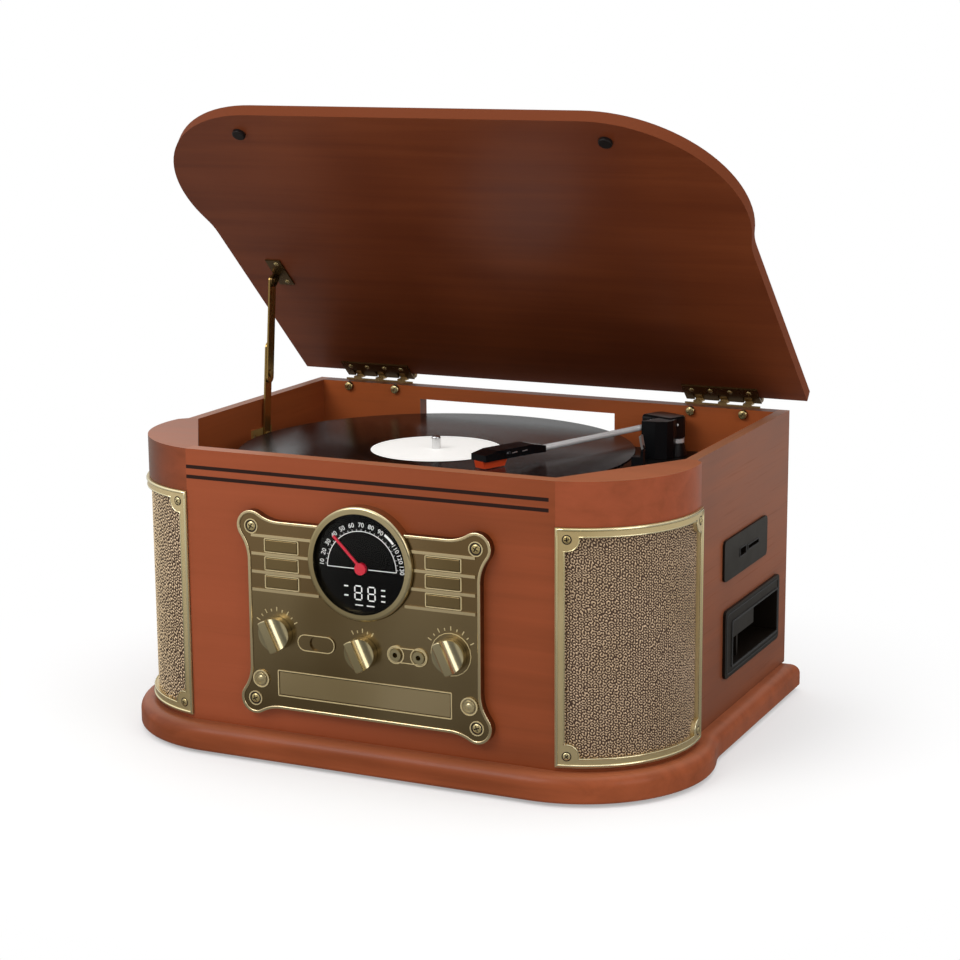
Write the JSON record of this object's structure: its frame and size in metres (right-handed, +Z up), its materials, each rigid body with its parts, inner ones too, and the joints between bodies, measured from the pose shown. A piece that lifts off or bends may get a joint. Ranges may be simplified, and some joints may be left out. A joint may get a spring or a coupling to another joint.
{
  "type": "record player",
  "caption": "Wooden retro music centre: a record deck under a hinged lid held by a folding stay, rounded speaker corners, a brass control plate with dial and knobs, and a disc drawer.",
  "frame": {"origin": "middle of the bounding box's underside, on the table, with the lid open as pictured", "axes": "+X to the right seen from the front, +Y to the back, +Z up"},
  "size_m": [0.455, 0.3447, 0.4635],
  "materials": {
    "plinth_wood": "satin lacquer",
    "front_wood": "satin lacquer",
    "side_wood": "satin lacquer",
    "corner_wood": "satin lacquer",
    "lid_wood": "satin lacquer",
    "inner_board": "raw board",
    "foot_rubber": "matte",
    "bumper_rubber": "matte",
    "belt_rubber": "matte",
    "mat_rubber": "matte",
    "driver_black": "matte",
    "grille_bronze": "satin, embossed",
    "frame_brass": "satin",
    "screw_brass": "satin",
    "deck_black": "satin",
    "motor_steel": "satin",
    "pulley_brass": "turned",
    "platter_plastic": "satin",
    "record_vinyl": "grooved gloss",
    "black_plastic": "satin",
    "arm_steel": "satin",
    "headshell_black": "satin",
    "stylus_orange": "satin",
    "plate_brass": "antique satin",
    "bezel_brass": "polished",
    "dial_black": "gloss",
    "pointer_red": "gloss",
    "pot_metal": "plain",
    "board_green": "plain",
    "jack_metal": "satin",
    "knob_brass": "satin",
    "key_brass": "satin",
    "drawer_brass": "antique satin",
    "port_black": "satin",
    "tape_black": "matte",
    "hinge_brass": "antique",
    "bolt_steel": "plain",
    "stay_brass": "satin"
  },
  "bodies": {
    "cabinet": {"base_plinth": "plinth_wood", "rubber_feet": "foot_rubber", "front_panel": "front_wood", "left_side_panel": "side_wood", "right_side_panel": "side_wood", "back_panel": "side_wood", "corner_blocks": "corner_wood", "speaker_baffles": "inner_board", "speaker_drivers": "driver_black", "grille_panels": "grille_bronze", "grille_frames": "frame_brass", "front_screws": "screw_brass", "deck_plate": "deck_black", "drive_motor": "motor_steel", "drive_belt": "belt_rubber", "arm_rest": "black_plastic", "control_plate": "plate_brass", "dial_bezel": "bezel_brass", "dial_face": "dial_black", "control_pots": "pot_metal", "main_board": "board_green", "audio_jacks": "jack_metal", "cd_mechanism": "black_plastic", "usb_panel": "port_black", "cassette_bezel": "port_black", "cassette_mechanism": "tape_black", "rear_connector_plate": "port_black", "wall_hinges": "hinge_brass", "hinge_bolts": "bolt_steel", "stay_wall_bracket": "stay_brass"},
    "turntable": {"platter": "platter_plastic", "platter_mat": "mat_rubber", "record_disc": "record_vinyl"},
    "pulley": {"motor_pulley": "pulley_brass"},
    "speed_slider": {"speed_switch": "black_plastic"},
    "arm_post": {"arm_turret": "black_plastic"},
    "tonearm": {"arm_tube": "arm_steel", "headshell": "headshell_black", "stylus_guard": "stylus_orange"},
    "rest_clip": {"arm_clip": "black_plastic"},
    "lid": {"lid_board": "lid_wood", "lid_bumpers": "bumper_rubber", "lid_hinges": "hinge_brass", "stay_lid_bracket": "stay_brass"},
    "stay_lower": {"stay_lower_arm": "stay_brass"},
    "stay_upper": {"stay_upper_arm": "stay_brass"},
    "pointer": {"dial_pointer": "pointer_red"},
    "function": {"function_knob": "knob_brass"},
    "tuning": {"tuning_knob": "knob_brass"},
    "volume": {"volume_knob": "knob_brass"},
    "flap": {"tape_flap": "tape_black"},
    "power": {"power_button": "key_brass"},
    "eject": {"eject_button": "key_brass"},
    "drawer": {"cd_drawer": "drawer_brass"},
    "key_left_1": {"left_button_1": "key_brass"},
    "key_left_2": {"left_button_2": "key_brass"},
    "key_left_3": {"left_button_3": "key_brass"},
    "key_right_1": {"right_button_1": "key_brass"},
    "key_right_2": {"right_button_2": "key_brass"},
    "key_right_3": {"right_button_3": "key_brass"}
  },
  "joints": [
    {"name": "lid_hinge", "type": "hinge", "parent": "cabinet", "child": "lid", "pos_m": [0, 0.16915, 0.2308], "axis": [1, 0, 0], "range_deg": [0, 42.7]},
    {"name": "stay_lower_pivot", "type": "hinge", "parent": "cabinet", "child": "stay_lower", "pos_m": [-0.1955, 0.04965, 0.1946], "axis": [1, 0, 0], "range_deg": [-84.6, 0.1]},
    {"name": "stay_upper_pivot", "type": "hinge", "parent": "lid", "child": "stay_upper", "pos_m": [-0.1937, 0.06182, 0.31786], "axis": [1, 0, 0], "range_deg": [-0.1, 31.4]},
    {"name": "platter_spin", "type": "hinge", "parent": "cabinet", "child": "turntable", "pos_m": [-0.025, 0.01265, 0.188], "axis": [0, 0, -1], "continuous": true},
    {"name": "pulley_spin", "type": "hinge", "parent": "cabinet", "child": "pulley", "pos_m": [-0.08234, -0.0275, 0.188], "axis": [0, 0, -1], "continuous": true},
    {"name": "speed_slide", "type": "slide", "parent": "cabinet", "child": "speed_slider", "axis": [1, 0, 0], "range_m": [0, 0.008]},
    {"name": "arm_swing", "type": "hinge", "parent": "cabinet", "child": "arm_post", "pos_m": [0.114, 0.13565, 0.188], "axis": [0, 0, 1], "range_deg": [-8, 33.2]},
    {"name": "arm_lift", "type": "hinge", "parent": "arm_post", "child": "tonearm", "pos_m": [0.114, 0.13565, 0.212], "axis": [-0.9205, 0.3907, 0], "range_deg": [0, 2.5]},
    {"name": "rest_clip_hinge", "type": "hinge", "parent": "cabinet", "child": "rest_clip", "pos_m": [0.13767, 0.02611, 0.214], "axis": [-0.1771, 0.9842, 0], "range_deg": [-80, 0]},
    {"name": "tuning_turn", "type": "hinge", "parent": "cabinet", "child": "tuning", "pos_m": [0, -0.15835, 0.0905], "axis": [0, 1, 0], "range_deg": [-120, 360]},
    {"name": "pointer_turn", "type": "hinge", "parent": "cabinet", "child": "pointer", "pos_m": [0, -0.15835, 0.151], "axis": [0, 1, 0], "range_deg": [-40.1, 120.1]},
    {"name": "function_turn", "type": "hinge", "parent": "cabinet", "child": "function", "pos_m": [-0.0686, -0.15835, 0.097], "axis": [0, 1, 0], "range_deg": [-35, 85]},
    {"name": "volume_turn", "type": "hinge", "parent": "cabinet", "child": "volume", "pos_m": [0.0686, -0.15835, 0.097], "axis": [0, 1, 0], "range_deg": [-125, 175]},
    {"name": "power_press", "type": "slide", "parent": "cabinet", "child": "power", "axis": [0, 1, 0], "range_m": [0, 0.001], "stiffness_N_per_m": 400},
    {"name": "eject_press", "type": "slide", "parent": "cabinet", "child": "eject", "axis": [0, 1, 0], "range_m": [0, 0.001], "stiffness_N_per_m": 400},
    {"name": "flap_hinge", "type": "hinge", "parent": "cabinet", "child": "flap", "pos_m": [0.2025, 0.06165, 0.0856], "axis": [0, 1, 0], "range_deg": [0, 70], "stiffness_Nm_per_rad": 0.002},
    {"name": "drawer_slide", "type": "slide", "parent": "cabinet", "child": "drawer", "axis": [0, -1, 0], "range_m": [0, 0.133]},
    {"name": "key_left_1_press", "type": "slide", "parent": "cabinet", "child": "key_left_1", "axis": [0, 1, 0], "range_m": [0, 0.001], "stiffness_N_per_m": 400},
    {"name": "key_left_2_press", "type": "slide", "parent": "cabinet", "child": "key_left_2", "axis": [0, 1, 0], "range_m": [0, 0.001], "stiffness_N_per_m": 400},
    {"name": "key_left_3_press", "type": "slide", "parent": "cabinet", "child": "key_left_3", "axis": [0, 1, 0], "range_m": [0, 0.001], "stiffness_N_per_m": 400},
    {"name": "key_right_1_press", "type": "slide", "parent": "cabinet", "child": "key_right_1", "axis": [0, 1, 0], "range_m": [0, 0.001], "stiffness_N_per_m": 400},
    {"name": "key_right_2_press", "type": "slide", "parent": "cabinet", "child": "key_right_2", "axis": [0, 1, 0], "range_m": [0, 0.001], "stiffness_N_per_m": 400},
    {"name": "key_right_3_press", "type": "slide", "parent": "cabinet", "child": "key_right_3", "axis": [0, 1, 0], "range_m": [0, 0.001], "stiffness_N_per_m": 400}
  ],
  "couplings": [
    {"joint": "stay_lower_pivot", "follows": "lid_hinge", "ratio": -1.9756},
    {"joint": "stay_upper_pivot", "follows": "lid_hinge", "ratio": 0.7287},
    {"joint": "pulley_spin", "follows": "platter_spin", "ratio": 7.7692},
    {"joint": "pointer_turn", "follows": "tuning_turn", "ratio": 0.33333}
  ]
}
